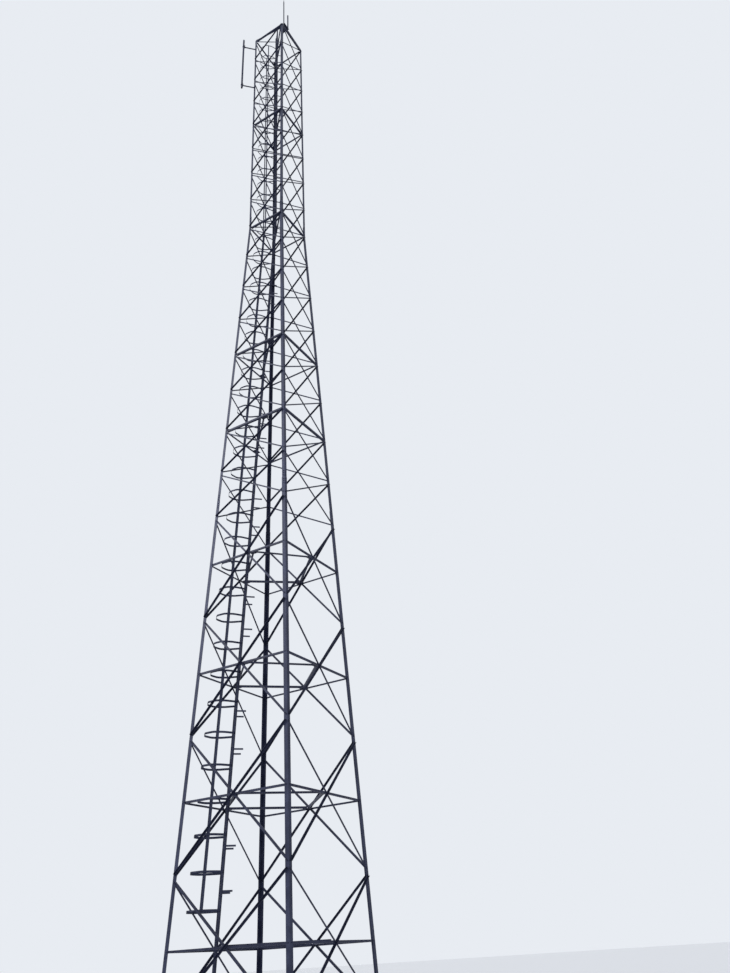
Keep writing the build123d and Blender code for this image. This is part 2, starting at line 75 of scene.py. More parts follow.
# %% Driving lengths in metres
BASE_HALF, TOP_HALF = 1.675, 0.72
BEND, BODY = 24.0, 36.0
SLOPE = (BASE_HALF - TOP_HALF) / BEND
FOOT = 1.625
AXIS = np.array((FOOT, FOOT, 0.0))
UP = np.array((0.0, 0.0, 1.0))
LEG_THICK, BRACE_THICK = 0.008, 0.005
LEG_FLANGE = {"lower": 0.100, "middle": 0.090, "upper": 0.075}
SECTION = {"lower": (0.0, 12.0, 3.0), "middle": (12.0, 24.0, 1.5), "upper": (24.0, 36.0, 1.5)}
JOINT_GAP, FOOT_GAP = 0.080, 0.230
TURNS = np.radians((0, 90, 180, 270))
M8, M10, M12, M16, M30 = 0.008, 0.010, 0.012, 0.016, 0.030
random = np.random.default_rng(24)


def half_width(height):
    """Half the width over the legs: the top's half width, plus the slope times the drop below the bend."""
    return TOP_HALF + SLOPE * np.maximum(BEND - np.asarray(height, float), 0.0)


def lean(section):
    """How far a section's faces lean in for each metre of height. The upper section stands upright."""
    return 0.0 if section == "upper" else SLOPE


print("lean of a face:", round(math.degrees(math.atan(SLOPE)), 2), "degrees")


# %% [markdown]
# A mesh from whole arrays
#
# Blender can take a mesh as three flat arrays: corner points, the corners of each face, and how many corners
# each face has. That is much faster than adding faces one at a time, and it lets one small pattern (say a bolt)
# be repeated hundreds of times. Each piece is declared to ride on the tower's one body and to wear a finish.

# %% One piece from its arrays
def piece(name, points, groups, slot):
    """Makes one mesh object. groups is a list of (faces, corners) integer arrays, one for each face size."""
    flat = np.concatenate([group.ravel() for group in groups]).astype(np.int32)
    sizes = np.concatenate([np.full(len(group), group.shape[1]) for group in groups]).astype(np.int32)
    mesh = bpy.data.meshes.new(name)
    mesh.vertices.add(len(points))
    mesh.vertices.foreach_set("co", np.asarray(points, np.float32).ravel())
    mesh.loops.add(len(flat))
    mesh.loops.foreach_set("vertex_index", flat)
    mesh.polygons.add(len(sizes))
    mesh.polygons.foreach_set("loop_start", (np.cumsum(sizes) - sizes).astype(np.int32))
    mesh.update(calc_edges=True)
    mesh.validate()
    made = bpy.data.objects.new(name, mesh)
    bpy.context.scene.collection.objects.link(made)
    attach(made, "root")
    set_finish(made, slot)
    print(name, "faces:", len(sizes))
    return made


# %% [markdown]
# Forms made of rings
#
# Bolts, nuts, washers and welds are all rings of corners, joined by quads and closed by caps. They could be
# Blender's own cylinders joined together, but a list of radii and heights says the same in one line, and
# it gives a mesh with few faces, which matters for a piece that is repeated hundreds of times.

# %% Rings, turned forms and joined forms
def ring_faces(rings, sides):
    """The faces of a form made of rings in a row: quads between the rings, and a cap at each end."""
    low = np.arange((rings - 1) * sides).reshape(-1, sides)
    beside = np.roll(low, -1, 1)
    quads = np.stack((low, beside, beside + sides, low + sides), axis=2).reshape(-1, 4)
    caps = np.stack((np.arange(sides)[::-1], (rings - 1) * sides + np.arange(sides)))
    return [quads, caps]


def repeated(groups, count, size):
    """The same faces for each of several equal forms, whose points are listed one form after the other."""
    starts = (np.arange(count) * size)[:, None, None]
    return [(group[None] + starts).reshape(-1, group.shape[1]) for group in groups]


def lathe(sides, rings, moves=0.0, hollow=False):
    """A closed turned form: each ring is (radius, height) with that many corners, and both ends are capped.

    Corner k of a ring stands at radius * (cos, sin) of k turns divided by the number of sides. moves says
    whether the form rides on the far end of a bolt (1) or on its near end (0). A hollow form's rings run up the
    outside and down the inside of its wall, and the last one joins the first, with no caps.
    """
    radius, height = np.array(rings, float).T
    angle = np.arange(sides) * math.tau / sides
    flat = np.outer(radius, np.cos(angle)), np.outer(radius, np.sin(angle))
    points = np.stack((*flat, np.repeat(height, sides).reshape(-1, sides)), axis=2).reshape(-1, 3)
    groups = ring_faces(len(rings), sides)
    if hollow:
        groups = [ring_faces(len(rings) + 1, sides)[0] % len(points)]
    return points, groups, np.full(len(points), float(moves))


def together(*forms):
    """Several forms as one: their points are listed in a row, and each form's faces count on from its start."""
    points, groups, moves, start = [], [], [], 0
    for form_points, form_groups, form_moves in forms:
        points.append(form_points)
        moves.append(form_moves)
        groups += [group + start for group in form_groups]
        start += len(form_points)
    return np.concatenate(points), groups, np.concatenate(moves)


# %% [markdown]
# Stamping a form
#
# A bolt stands across the plates that it grips, so each copy needs a place and a direction. Every copy could be
# its own object, but one mesh that holds them all is lighter. Nobody lines up the corners of a nut, so each
# copy is turned by chance, from a generator with a fixed start that gives the same turns on each run.

# %% Stamping forms at places
NEARLY_UPRIGHT = 0.9


def axes_along(directions, turns):
    """For each direction, three unit vectors as rows: two across it, turned round it by an angle, and itself.

    The first is the cross product of a guide and the direction. The guide is z, or x near the upright.
    """
    main = directions / np.linalg.norm(directions, axis=1, keepdims=True)
    guide = np.where(np.abs(main[:, 2:]) > NEARLY_UPRIGHT, (1.0, 0.0, 0.0), (0.0, 0.0, 1.0))
    first = np.cross(guide, main)
    first /= np.linalg.norm(first, axis=1, keepdims=True)
    second = np.cross(main, first)
    c, s = np.cos(turns)[:, None], np.sin(turns)[:, None]
    return np.stack((c * first + s * second, c * second - s * first, main), axis=1)


def stamp(name, form, places, directions, grips, scale, slot, turns=None):
    """Stamps a form at each place, standing along each direction.

    A point p of the form lands at place + (scale * p - moves * grip) . axes, so the far end of a bolt slides
    back by the thickness that it grips. Without turns, each copy is turned by chance.
    """
    points, groups, moves = form
    places, directions = np.atleast_2d(places), np.atleast_2d(directions)
    count = len(places)
    turns = random.uniform(0, math.tau, count) if turns is None else np.broadcast_to(turns, (count,))
    axes = axes_along(np.broadcast_to(directions, places.shape).astype(float), turns)
    local = np.repeat(points[None] * scale, count, axis=0)
    local[:, :, 2] -= moves[None, :] * np.broadcast_to(grips, (count,))[:, None]
    world = places[:, None, :] + np.einsum("nvk,nkj->nvj", local, axes)
    return piece(name, world.reshape(-1, 3), repeated(groups, count, len(points)), slot)


# %% [markdown]
# One structural bolt
#
# A bolt here is a hexagon head with a turned-down crown on a round washer, and on the far side a washer, a nut
# and a short end of thread. We draw it for a shank that is one unit thick, so that the same pattern gives an
# M12, an M16 or an M30 when it is scaled. The shank itself is hidden in the plates, so it isn't drawn.

# %% The bolt and the weld collar
ROUND_SIDES = 40
HEAD = lathe(6, [(0.87, 0.0), (0.87, 0.55), (0.72, 0.63)])
BOLT = together(
    lathe(8, [(0.98, 0.0), (0.98, 0.17)]),
    lathe(6, [(0.87, 0.17), (0.87, 0.72), (0.72, 0.80)]),
    lathe(8, [(0.98, -0.17), (0.98, 0.0)], moves=1),
    lathe(6, [(0.74, -1.0), (0.87, -0.90), (0.87, -0.17)], moves=1),
    lathe(6, [(0.42, -1.30), (0.50, -1.0)], moves=1),
)
ANCHOR = together(
    lathe(12, [(1.1, 0.0), (1.1, 0.2)]),
    lathe(6, [(0.87, 0.2), (0.87, 0.95), (0.76, 1.0)]),
    lathe(6, [(0.87, 1.0), (0.87, 1.5), (0.76, 1.55)]),
    lathe(10, [(0.5, 1.5), (0.5, 2.4), (0.42, 2.5)]),
)
COLLAR_RINGS = [(1.45, 0.0), (1.3, 0.14), (1.08, 0.34), (0.9, 0.36)]
WELD_COLLAR, ROUND_COLLAR = lathe(8, COLLAR_RINGS), lathe(ROUND_SIDES, COLLAR_RINGS)
print("corners of a bolt:", len(BOLT[0]))


# %% [markdown]
# The four leaning faces
#
# Each face is a leaning plane with its own axes: x level, y up the slope and z outward. We could work out every
# bolt in the tower's own frame, but working in the plane keeps the sums short, and one matrix for each face
# carries them into place.

# %% Face planes
def face_axes(turn, slope):
    """Rows x, y and z of a face: level, up the slope and outward, turned round the tower's axis."""
    out = np.array((0.0, -1.0, slope)) / math.hypot(1.0, slope)
    level = np.array((1.0, 0.0, 0.0))
    rows = np.stack((level, np.cross(out, level), out))
    c, s = math.cos(turn), math.sin(turn)
    return rows @ np.array(((c, s, 0.0), (-s, c, 0.0), (0.0, 0.0, 1.0)))


def on_faces(section, flat, depth):
    """Points (x, height along the face) at a depth, carried to the four faces, and their outward directions.

    A point lands at the middle of the face's foot + x * level + y * up the slope + depth * outward. flat is
    one list of points for all the faces, or four lists, one for each face.
    """
    base = SECTION[section][0]
    places, outs = [], []
    for turn, points in zip(TURNS, np.broadcast_to(flat, (4, *flat.shape[-2:]))):
        axes = face_axes(turn, lean(section))
        c, s = math.cos(turn), math.sin(turn)
        start = np.array((s * half_width(base), -c * half_width(base), base)) + AXIS
        places.append(start + np.column_stack((points, np.full(len(points), depth))) @ axes)
        outs.append(np.repeat(axes[2:], len(points), axis=0))
    return np.concatenate(places), np.concatenate(outs)


def gathered(found):
    """Several results of on_faces as one: all the places, and all the outward directions."""
    places, outs = zip(*found)
    return np.concatenate(places), np.concatenate(outs)


print("outward from the front face:", face_axes(TURNS[0], lean("lower"))[2].round(4))

# %% [markdown]
# Bolts of the diagonals
#
# A diagonal is an angle bar bolted to the flanges of two legs. It has two bolts at each end, on the middle of
# its flat flange, and one more bolt passes through both diagonals and the packing where they cross. The places
# follow from the panels' heights and the legs' widths, so no bolt is placed by eye.

# %% Diagonals and their bolts
BAR_END_BOLTS = np.array((-0.010, 0.028))


def diagonals(section):
    """The end points, in the face's plane, of the outside and inside diagonals, and where each pair crosses.

    They run between the middles of the leg flanges, a gap above each joint and a gap below the next one. Two
    such diagonals cross at the share low width / (low width + high width) of the way up.
    """
    low, high, step = SECTION[section]
    upright = 1 / math.hypot(1.0, lean(section))
    bottoms = np.arange(low, high - step / 2, step)
    tops = bottoms + step - JOINT_GAP
    bottoms = bottoms + np.where(bottoms == 0, FOOT_GAP, JOINT_GAP)
    reach = LEG_FLANGE[section] / 2
    x_low, x_high = half_width(bottoms) - reach, half_width(tops) - reach
    y_low, y_high = (bottoms - low) / upright, (tops - low) / upright
    outside = np.stack((-x_low, y_low, x_high, y_high), axis=1)
    inside = np.stack((-x_high, y_high, x_low, y_low), axis=1)
    y_meeting = y_low + (y_high - y_low) * x_low / (x_low + x_high)
    return outside, inside, np.stack((np.zeros(len(x_low)), y_meeting), axis=1)


def bolts_on_bars(bars, heel):
    """Two bolt places near each end of each bar, half a thickness away from the flange that stands up.

    heel is 1 where that flange is along the bar's upper edge, and -1 where it is along the lower one.
    """
    start, end = bars[:, :2], bars[:, 2:]
    run = (end - start) / np.linalg.norm(end - start, axis=1, keepdims=True)
    shift = np.stack((-run[:, 1], run[:, 0]), axis=1) * -heel * BRACE_THICK / 2
    near = start[:, None] + run[:, None] * BAR_END_BOLTS[:, None] + shift[:, None]
    far = end[:, None] - run[:, None] * BAR_END_BOLTS[:, None] + shift[:, None]
    return np.concatenate((near, far)).reshape(-1, 2)


OUTSIDE_HEELS, INSIDE_HEELS = (1, -1, 1, 1), (1, 1, 1, -1)
BOLT_SIZE = {"lower": M16, "middle": M12, "upper": M12}
for section in SECTION:
    outside, inside, meeting = diagonals(section)
    outer = np.stack([bolts_on_bars(outside, heel) for heel in OUTSIDE_HEELS])
    inner = np.stack([bolts_on_bars(inside, heel) for heel in INSIDE_HEELS])
    cross = on_faces(section, meeting, BRACE_THICK)
    places, outs = gathered((on_faces(section, outer, BRACE_THICK), on_faces(section, inner, 0.0), cross))
    grips = np.full(len(places), LEG_THICK + BRACE_THICK)
    grips[-len(cross[0]):] += BRACE_THICK
    stamp("bolts_diagonals_" + section, BOLT, places, outs, grips, BOLT_SIZE[section], "brace_steel")

# %% [markdown]
# Bolts of the level angles and the splices
#
# The level angles lie inside the leg flanges, with two bolts at each end. The splices are cover angles inside
# the legs, so each flange of a leg has six bolts, three above the butt joint and three below it. Heads stay
# outside, where an inspector can tap them.

# %% Level angle bolts and splice bolts
TOP_BELT = BODY - 0.030
LEVEL_END_BOLTS = np.array((0.020, 0.052))
SPLICE_RISE, SPLICE_GAUGE = 0.55, 0.042
SPLICE_BOLTS = np.array((-0.20, -0.13, -0.06, 0.06, 0.13, 0.20))


def level_bolts(section, heights):
    """Two bolts at each end of a level angle, so far outward from the free edge of the leg's flange."""
    heights = np.asarray(heights, float)
    ends = half_width(heights)[:, None] - LEG_FLANGE[section] + LEVEL_END_BOLTS
    x = np.concatenate((ends, -ends), axis=1).ravel()
    upright = 1 / math.hypot(1.0, lean(section))
    y = np.repeat((heights - SECTION[section][0]) / upright, 4) + BRACE_THICK / 2
    return on_faces(section, np.column_stack((x, y)), 0.0)


def splice_bolts(section):
    """Six bolts on each flange of each leg: a gauge in from the heel, and so far up or down from the joint."""
    low = SECTION[section][0]
    heights = low + SPLICE_RISE + SPLICE_BOLTS
    y = (heights - low) * math.hypot(1.0, lean(section))
    x = half_width(heights) - SPLICE_GAUGE
    flat = np.concatenate((np.column_stack((x, y)), np.column_stack((-x, y))))
    return on_faces(section, flat, 0.0)


LOW_LEVELS = diagonals("lower")[2][:, 1] / math.hypot(1.0, SLOPE)
LEVELS = {"lower": LOW_LEVELS, "middle": (15.0, 18.0), "upper": (24.0, 30.0, TOP_BELT)}
places, outs = gathered(level_bolts(section, heights) for section, heights in LEVELS.items())
stamp("bolts_level_angles", BOLT, places, outs, LEG_THICK + BRACE_THICK, M12, "brace_steel")
places, outs = gathered(splice_bolts(section) for section in ("middle", "upper"))
stamp("bolts_splices", BOLT, places, outs, 2 * LEG_THICK, M16, "splice_steel")

# %% [markdown]
# Anchors and welds at the feet
#
# Every foot stands on four foundation bolts with a washer, a nut and a lock nut. Ribs and legs are welded to
# the plate. A weld bead is a small ridge that ripples along its length. A plain bar would look glued on, so we
# sweep a six-cornered ring along each seam and let its radius rise and fall.

# %% Anchor bolts and foot welds
PLATE_TOP, ANCHOR_OUT = 0.025, 0.14
CORNERS = np.array(((-1, -1), (1, -1), (1, 1), (-1, 1)))
FOOT_CENTRES = FOOT + FOOT * CORNERS
anchors = (FOOT_CENTRES[:, None] + ANCHOR_OUT * CORNERS).reshape(-1, 2)
anchors = np.column_stack((anchors, np.full(len(anchors), PLATE_TOP)))
stamp("anchor_bolts", ANCHOR, anchors, UP, 0.0, M30, "foot_steel")

FOOT_WELD, ARM_WELD, CAP_WELD = 0.005, 0.0035, 0.004
BEAD_SIDES, BEAD_PITCH, FEWEST_RINGS, MOST_RINGS = 6, 0.006, 6, 40
RIPPLE, RIPPLE_TURN = 0.16, 2.1
END_SIZE, END_GROWTH = 0.2, 6.0


def beads(name, starts, ends, radius, slot):
    """Weld beads along straight seams.

    The radius of each ring is the bead's radius times (1 + the ripple times a sine along the seam), and it is
    pinched at both ends, where it grows from a fifth of its size. Few rings are needed, one every 6 mm.
    """
    starts, ends = np.atleast_2d(starts).astype(float), np.atleast_2d(ends).astype(float)
    length = np.linalg.norm(ends - starts, axis=1)
    rings = int(np.clip(length.max() / BEAD_PITCH, FEWEST_RINGS, MOST_RINGS))
    t = np.linspace(0.0, 1.0, rings)
    pinch = np.minimum(1.0, END_GROWTH * np.minimum(t, 1 - t) + END_SIZE)
    swell = pinch * (1 + RIPPLE * np.sin(t * rings * RIPPLE_TURN))
    axes = axes_along(ends - starts, np.zeros(len(starts)))
    angle = np.arange(BEAD_SIDES) * math.tau / BEAD_SIDES
    around = np.cos(angle)[:, None] * axes[:, None, 0] + np.sin(angle)[:, None] * axes[:, None, 1]
    centre = starts[:, None] + (ends - starts)[:, None] * t[:, None]
    world = centre[:, :, None] + radius * swell[:, None, None] * around[:, None]
    faces = repeated(ring_faces(rings, BEAD_SIDES), len(starts), rings * BEAD_SIDES)
    return piece(name, world.reshape(-1, 3), faces, slot)


def at_all_legs(seams):
    """Seams of the front left leg, given from the axis, mirrored to all four legs."""
    signs = np.column_stack((-CORNERS, np.ones(4)))[:, None, None]
    return (np.array(seams)[None] * signs).reshape(-1, 2, 3) + AXIS


RIB_HALF, RIB_SEAM, SEAM_HEIGHT = 0.006, 0.108, 0.026
flange_end = LEG_FLANGE["lower"] - half_width(0)
seams = []
for inset, way in ((0.0, -1), (LEG_THICK, 1)):
    near = -half_width(PLATE_TOP) + inset
    far = near + way * RIB_SEAM
    for face in (-FOOT - RIB_HALF, -FOOT + RIB_HALF):
        seams.append(((face, near, SEAM_HEIGHT), (face, far, SEAM_HEIGHT)))
        seams.append(((near, face, SEAM_HEIGHT), (far, face, SEAM_HEIGHT)))
    seams.append(((near, near, SEAM_HEIGHT), (flange_end, near, SEAM_HEIGHT)))
    seams.append(((near, near, SEAM_HEIGHT), (near, flange_end, SEAM_HEIGHT)))
seams = at_all_legs(seams)
beads("foot_welds", seams[:, 0], seams[:, 1], FOOT_WELD, "foot_steel")

# %% [markdown]
# The ladder's own plane
#
# The ladder stands inside the tower, across its diagonal, facing the front left leg, and leans a little less
# than the leg does. All its small parts are placed by x across it, y in front of it, towards that leg, and z
# up. With such a plane of its own, a rung or a hoop is placed by its height alone.

# %% Places on the ladder
RAIL_HALF, RAIL_FLANGE, RAIL_THICK = 0.20, 0.05, 0.005
IN_FROM_LEG_AT_BASE, IN_FROM_LEG_AT_TOP = 1.07, 0.93
LADDER_OFF_AXIS = TOP_HALF * math.sqrt(2) - IN_FROM_LEG_AT_TOP
LADDER_SLOPE = SLOPE * math.sqrt(2) - (IN_FROM_LEG_AT_BASE - IN_FROM_LEG_AT_TOP) / BEND
ACROSS = np.array((-1.0, 1.0, 0.0)) / math.sqrt(2)
TOWARDS = np.array((-1.0, -1.0, 0.0)) / math.sqrt(2)
SIDES = np.array((-1.0, 1.0))


def ladder_distance(height):
    """From the axis to the ladder: its distance at the top, plus its slope times the drop below the bend."""
    return LADDER_OFF_AXIS + LADDER_SLOPE * np.maximum(BEND - np.asarray(height, float), 0.0)


def on_ladder(x, y, z):
    """Points of the ladder's plane: the axis + x across + (distance at that height + y) towards the leg + z."""
    x, y, z = np.broadcast_arrays(np.asarray(x, float), y, z)
    return AXIS + x[..., None] * ACROSS + (ladder_distance(z) + y)[..., None] * TOWARDS + z[..., None] * UP


def both_sides(levels):
    """Each level twice, with -1 and with 1 for the two sides of the ladder."""
    level, side = np.meshgrid(levels, SIDES)
    return level.ravel(), side.ravel()


def swept_bar(name, lines, slot):
    """Closed bars from an array (bars, steps, corners, 3): each step's corners are joined to the next ones."""
    bars, steps, corners, _ = lines.shape
    faces = repeated(ring_faces(steps, corners), bars, steps * corners)
    return piece(name, lines.reshape(-1, 3), faces, slot)


print("ladder to axis at the foot and the top:", ladder_distance((0.0, BODY)).round(3))

# %% [markdown]
# Bent hoops
#
# The frame draws each cage hoop with sharp corners, which is enough for collisions. The real hoop is flat bar
# bent over a former, so each corner is a short curve. A Bevel modifier would round all of them by one width, so
# we cut each corner back by its own length instead and join the two cut points with a curve. The new hoops
# stand for the old ones.

# %% Hoops with bent corners
HOOP_THICK, HOOP_TALL = 0.005, 0.050
HOOP_BOTTOM, HOOP_STEP, HOOPS = 2.34, 0.75, 45
HOOP_LEVELS = HOOP_BOTTOM + HOOP_STEP * np.arange(HOOPS)
HOOP_SIDE = np.array((
    (0.2075, -0.015), (0.2075, 0.0246), (0.2875, 0.2696), (0.2875, 0.5009), (0.1262, 0.6925),
))
HOOP_LINE = np.concatenate((HOOP_SIDE, HOOP_SIDE[::-1] * (-1, 1)))
CUTS = np.array((0.010, 0.060, 0.060, 0.075))
CURVE_STEPS = 6


def bent_line(line, cuts):
    """An open line through points, with each inner corner cut back by a length and curved.

    The curve is (1 - t) squared times the first cut point, 2 t (1 - t) times the corner and t squared times the
    second cut point, with t from 0 to 1.
    """
    corner = line[1:-1]
    back, ahead = line[:-2] - corner, line[2:] - corner
    first = corner + back / np.linalg.norm(back, axis=1, keepdims=True) * cuts[:, None]
    second = corner + ahead / np.linalg.norm(ahead, axis=1, keepdims=True) * cuts[:, None]
    t = np.linspace(0.0, 1.0, CURVE_STEPS)[:, None, None]
    curve = (1 - t) ** 2 * first + 2 * t * (1 - t) * corner + t**2 * second
    return np.concatenate((line[:1], curve.transpose(1, 0, 2).reshape(-1, 2), line[-1:]))


def hoop_bars(levels):
    """Section corners along each hoop: half a thickness to each side of the line, half a height up or down."""
    line = bent_line(HOOP_LINE, np.concatenate((CUTS, CUTS[::-1])))
    along = np.gradient(line, axis=0)
    along /= np.linalg.norm(along, axis=1, keepdims=True)
    out = np.stack((along[:, 1], -along[:, 0]), axis=1) * HOOP_THICK / 2
    corners = []
    for side, up in ((1, -1), (-1, -1), (-1, 1), (1, 1)):
        x, y = (line + side * out).T
        corners.append(on_ladder(x[None], y[None], levels[:, None]) + up * HOOP_TALL / 2 * UP)
    return np.stack(corners, axis=2)


for section, (low, high, _) in SECTION.items():
    chosen = HOOP_LEVELS[(HOOP_LEVELS >= low) & (HOOP_LEVELS < high)]
    made = swept_bar("hoops_bent_" + section, hoop_bars(chosen), "cage_steel")
    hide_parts("cage_hoops_" + section)

# %% [markdown]
# Small fixings of the cage and the rungs
#
# A hoop is bolted to the outside of each rail, and each long strap to every hoop, with one small bolt. Rungs
# are square bar set on edge and welded between the rails, so a shallow collar of weld rings each end. Every
# place follows from the level of its hoop or rung.

# %% Hoop bolts, strap bolts and rung welds
HOOP_BOLT_Y, STRAP_X, STRAP_Y, STRAP_THICK = 0.004, 0.290, 0.385, 0.005
RUNG_BOTTOM, RUNG_TOP, RUNG_STEP, RUNG_WELD = 0.45, 36.75, 0.3, 0.012
level, side = both_sides(HOOP_LEVELS)
sideways = side[:, None] * ACROSS
hoop_places = on_ladder(side * (RAIL_HALF + RAIL_THICK + HOOP_THICK), HOOP_BOLT_Y, level)
stamp("bolts_hoops", BOLT, hoop_places, sideways, RAIL_THICK + HOOP_THICK, M10, "cage_steel")
strap_places = on_ladder(side * STRAP_X, STRAP_Y, level)
stamp("bolts_straps", BOLT, strap_places, sideways, STRAP_THICK + HOOP_THICK, M8, "cage_steel")
rungs = np.arange(RUNG_BOTTOM, RUNG_TOP + 0.01, RUNG_STEP)
level, side = both_sides(rungs)
rung_ends = on_ladder(side * RAIL_HALF, 0.0, level)
stamp("rung_welds", WELD_COLLAR, rung_ends, -side[:, None] * ACROSS, 0.0, RUNG_WELD, "ladder_steel")
print("rungs:", len(rungs), "hoops:", HOOPS)

# %% [markdown]
# Bars that carry the ladder
#
# At each low crossing four plan bars make a diamond inside the tower, and one of them passes behind the
# ladder. At each belt only that one is left. Their ends lie on small level plates, so their bolts stand
# upright, one near each end.

# %% Plan bar bolts
BELTS = np.array((*LEVELS["middle"], *LEVELS["upper"]))
BEAMS = np.concatenate((LOW_LEVELS, BELTS))
PLAN_FLANGE, PLAN_INSET, PLAN_END_BOLT, CLEAT_THICK = 0.050, 0.075, 0.056, 0.008


def plan_corners(height):
    """Where the plan bars would meet at the front, right, back and left faces.

    They are counted from the axis. The first and the last lie on the bar behind the ladder, where x + y is minus
    the square root of 2 times the bar's distance, and that is the ladder's distance less the bar's flange.
    """
    line = half_width(height) - PLAN_INSET
    offset = line - (ladder_distance(height + PLAN_FLANGE) - PLAN_FLANGE) * math.sqrt(2)
    return np.array(((offset, -line), (line, 0.0), (0.0, line), (-line, offset)))


def bar_bolts(start, end, height):
    """One upright bolt near each end of a bar, on the middle of its flat flange."""
    run = (end - start) / np.linalg.norm(end - start)
    shift = np.array((run[1], -run[0])) * BRACE_THICK / 2
    flat = np.stack((start + run * PLAN_END_BOLT, end - run * PLAN_END_BOLT)) + shift
    return np.column_stack((flat, np.full(2, height + BRACE_THICK))) + AXIS


places = []
for height in BEAMS:
    corners = plan_corners(height)
    places.append(bar_bolts(corners[3], corners[0], height))
    if height < BELTS[0]:
        places += [bar_bolts(corners[k], corners[k + 1], height) for k in range(3)]
stamp("bolts_plan_bars", BOLT, np.concatenate(places), UP, CLEAT_THICK + BRACE_THICK, M12, "brace_steel")


# %% [markdown]
# Ladder clips
#
# A clip, a short length of angle, ties each rail to the bar behind it: one bolt down into the bar and one
# through the rail. It is a folded section with flat ends, so its outline is drawn once and carried across by
# its width.

# %% Ladder clips and their bolts
def folded(profile, width):
    """A short length of a folded section: (outward, up) corners, half the width to each side."""
    count = len(profile)
    outward, upward = np.array(profile, float).T
    ends = [np.column_stack((np.full(count, x), upward, outward)) for x in (-width / 2, width / 2)]
    near = np.arange(count)
    sides = np.stack((near, near + count, np.roll(near, -1) + count, np.roll(near, -1)), axis=1)
    return np.concatenate(ends), [sides, np.stack((near, near[::-1] + count))], np.zeros(2 * count)


CLIP_X, CLIP_WIDTH, CLIP_TALL, CLIP_DEEP, CLIP_THICK = 0.228, 0.042, 0.050, 0.043, 0.005
CLIP_BOLT_UP, CLIP_BOLT_BACK = 0.028, 0.025
RAIL_BOLT_X = 0.230
RAIL_BACK, RAIL_FACE = -RAIL_FLANGE / 2, RAIL_THICK - RAIL_FLANGE / 2
CLIP = folded((
    (0.0, 0.0), (0.0, CLIP_TALL), (-CLIP_THICK, CLIP_TALL),
    (-CLIP_THICK, CLIP_THICK), (-CLIP_DEEP, CLIP_THICK), (-CLIP_DEEP, 0.0),
), CLIP_WIDTH)
level, side = both_sides(BEAMS + BRACE_THICK)
clip_places = on_ladder(side * CLIP_X, RAIL_BACK, level)
stamp("ladder_clips", CLIP, clip_places, TOWARDS, 0.0, 1.0, "ladder_steel", turns=0.0)
rail_bolts = on_ladder(side * RAIL_BOLT_X, RAIL_FACE, level + CLIP_BOLT_UP)
stamp("bolts_clips_rails", BOLT, rail_bolts, TOWARDS, RAIL_THICK + CLIP_THICK, M10, "ladder_steel")
down_bolts = on_ladder(side * CLIP_X, RAIL_BACK - CLIP_BOLT_BACK, level + CLIP_THICK)
stamp("bolts_clips_bars", BOLT, down_bolts, UP, CLIP_THICK + BRACE_THICK, M10, "ladder_steel")

# %% [markdown]
# Ladder joints and cable arms
#
# A ladder of this height comes in three lengths. A fish plate in the corner of each rail joins them, with a
# bolt in each length. The flat arms that carry the cables are welded to the outer edge of each rail. Both are
# small and repeat, so they are stamped and swept as the other fixings are.

# %% Fish plates and arm welds
FISH_HALF, FISH_THICK, FISH_WIDTH, FISH_BOLT = 0.10, 0.0045, 0.034, 0.075
FISH = folded((
    (0.0, -FISH_HALF), (0.0, FISH_HALF), (-FISH_THICK, FISH_HALF), (-FISH_THICK, -FISH_HALF),
), FISH_WIDTH)
LADDER_JOINTS = np.array((12.0, 24.0))
level, side = both_sides(LADDER_JOINTS)
fish_places = on_ladder(side * RAIL_BOLT_X, RAIL_FACE + FISH_THICK, level)
stamp("fish_plates", FISH, fish_places, TOWARDS, 0.0, 1.0, "ladder_steel", turns=0.0)
level, side = both_sides((LADDER_JOINTS[:, None] + FISH_BOLT * SIDES).ravel())
fish_bolts = on_ladder(side * RAIL_BOLT_X, RAIL_FACE + FISH_THICK, level)
stamp("bolts_fish_plates", BOLT, fish_bolts, TOWARDS, RAIL_THICK + FISH_THICK, M10, "ladder_steel")

ARM_BOTTOM, ARM_PAIR, ARM_STEP = 2.7, 0.9, 3.0
ARM_SEAM_X, ARM_SEAM_Y, ARM_SEAM_HALF = 0.2505, -0.0195, 0.019
arms = [np.arange(first, BODY, ARM_STEP) for first in (ARM_BOTTOM, ARM_BOTTOM + ARM_PAIR)]
level, side = both_sides(np.concatenate(arms))
seam = on_ladder(side * ARM_SEAM_X, ARM_SEAM_Y, level)
beads("arm_welds", seam - ARM_SEAM_HALF * UP, seam + ARM_SEAM_HALF * UP, ARM_WELD, "ladder_steel")
print("cable arms:", len(level))

# %% [markdown]
# The head of the tower
#
# The cap's shoes are welded to the ends of the legs, and its bars to the shoes. The rod stands in a stepped
# socket, gripped by two rings of three screws, and a short pipe stands beside it. Both have a round weld at the
# foot, which is the collar of the rungs once more, with more sides.

# %% Welds of the cap, and the screws of the socket
APEX = AXIS + np.array((0.165, 0.165, 37.512))
PIPE_AWAY = np.array((0.13, 0.13, 0.0))
SHOE_TOP, SHOE_SEAM, PROUD = 36.009, 0.074, 0.0005
SOCKET_RADIUS, NECK_RADIUS, PIPE_RADIUS = 0.042, 0.034, 0.030
SOCKET_WELD, PIPE_WELD = 0.0385, 0.0275
SCREW, LOW_SCREWS, HIGH_SCREWS = 0.014, 0.07, 0.20
edge, reach = TOP_HALF + PROUD, TOP_HALF - SHOE_SEAM
bar_seam = np.array(((-0.645, -0.694, SHOE_TOP), (-0.617, -0.666, SHOE_TOP)))
seams = at_all_legs((
    ((-edge, -edge, BODY), (-reach, -edge, BODY)), ((-edge, -edge, BODY), (-edge, -reach, BODY)),
    bar_seam, bar_seam[:, (1, 0, 2)],
))
beads("cap_welds", seams[:, 0], seams[:, 1], CAP_WELD, "cap_steel")
